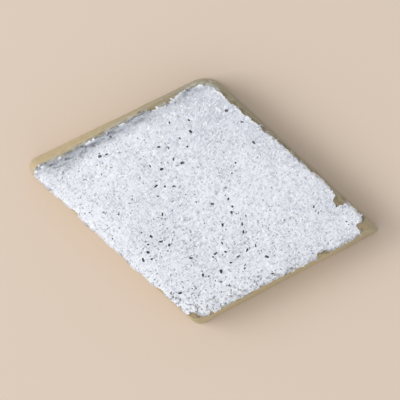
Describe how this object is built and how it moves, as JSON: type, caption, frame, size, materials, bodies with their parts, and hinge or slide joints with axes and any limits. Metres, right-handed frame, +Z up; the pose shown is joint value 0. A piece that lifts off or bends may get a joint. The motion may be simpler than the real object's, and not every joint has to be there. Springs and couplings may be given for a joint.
{
  "type": "cashew barfi piece",
  "caption": "Flat diamond of cashew fudge with leaning cut sides and a torn sheet of silver leaf on top.",
  "frame": {"origin": "centre of the slab's box in X and Y, at the flat underside", "axes": "+Z up out of the leafed face, +X along the long diagonal from the covered tip to the bare tip"},
  "size_m": [0.0612, 0.0418, 0.0077],
  "materials": {
    "cashew_fudge": "khaki cream, satin, faintly grainy",
    "silver_leaf": "crinkled, pale matt silver"
  },
  "bodies": {
    "root": {"cashew_slab": "cashew_fudge", "silver_leaf": "silver_leaf"}
  },
  "joints": []
}
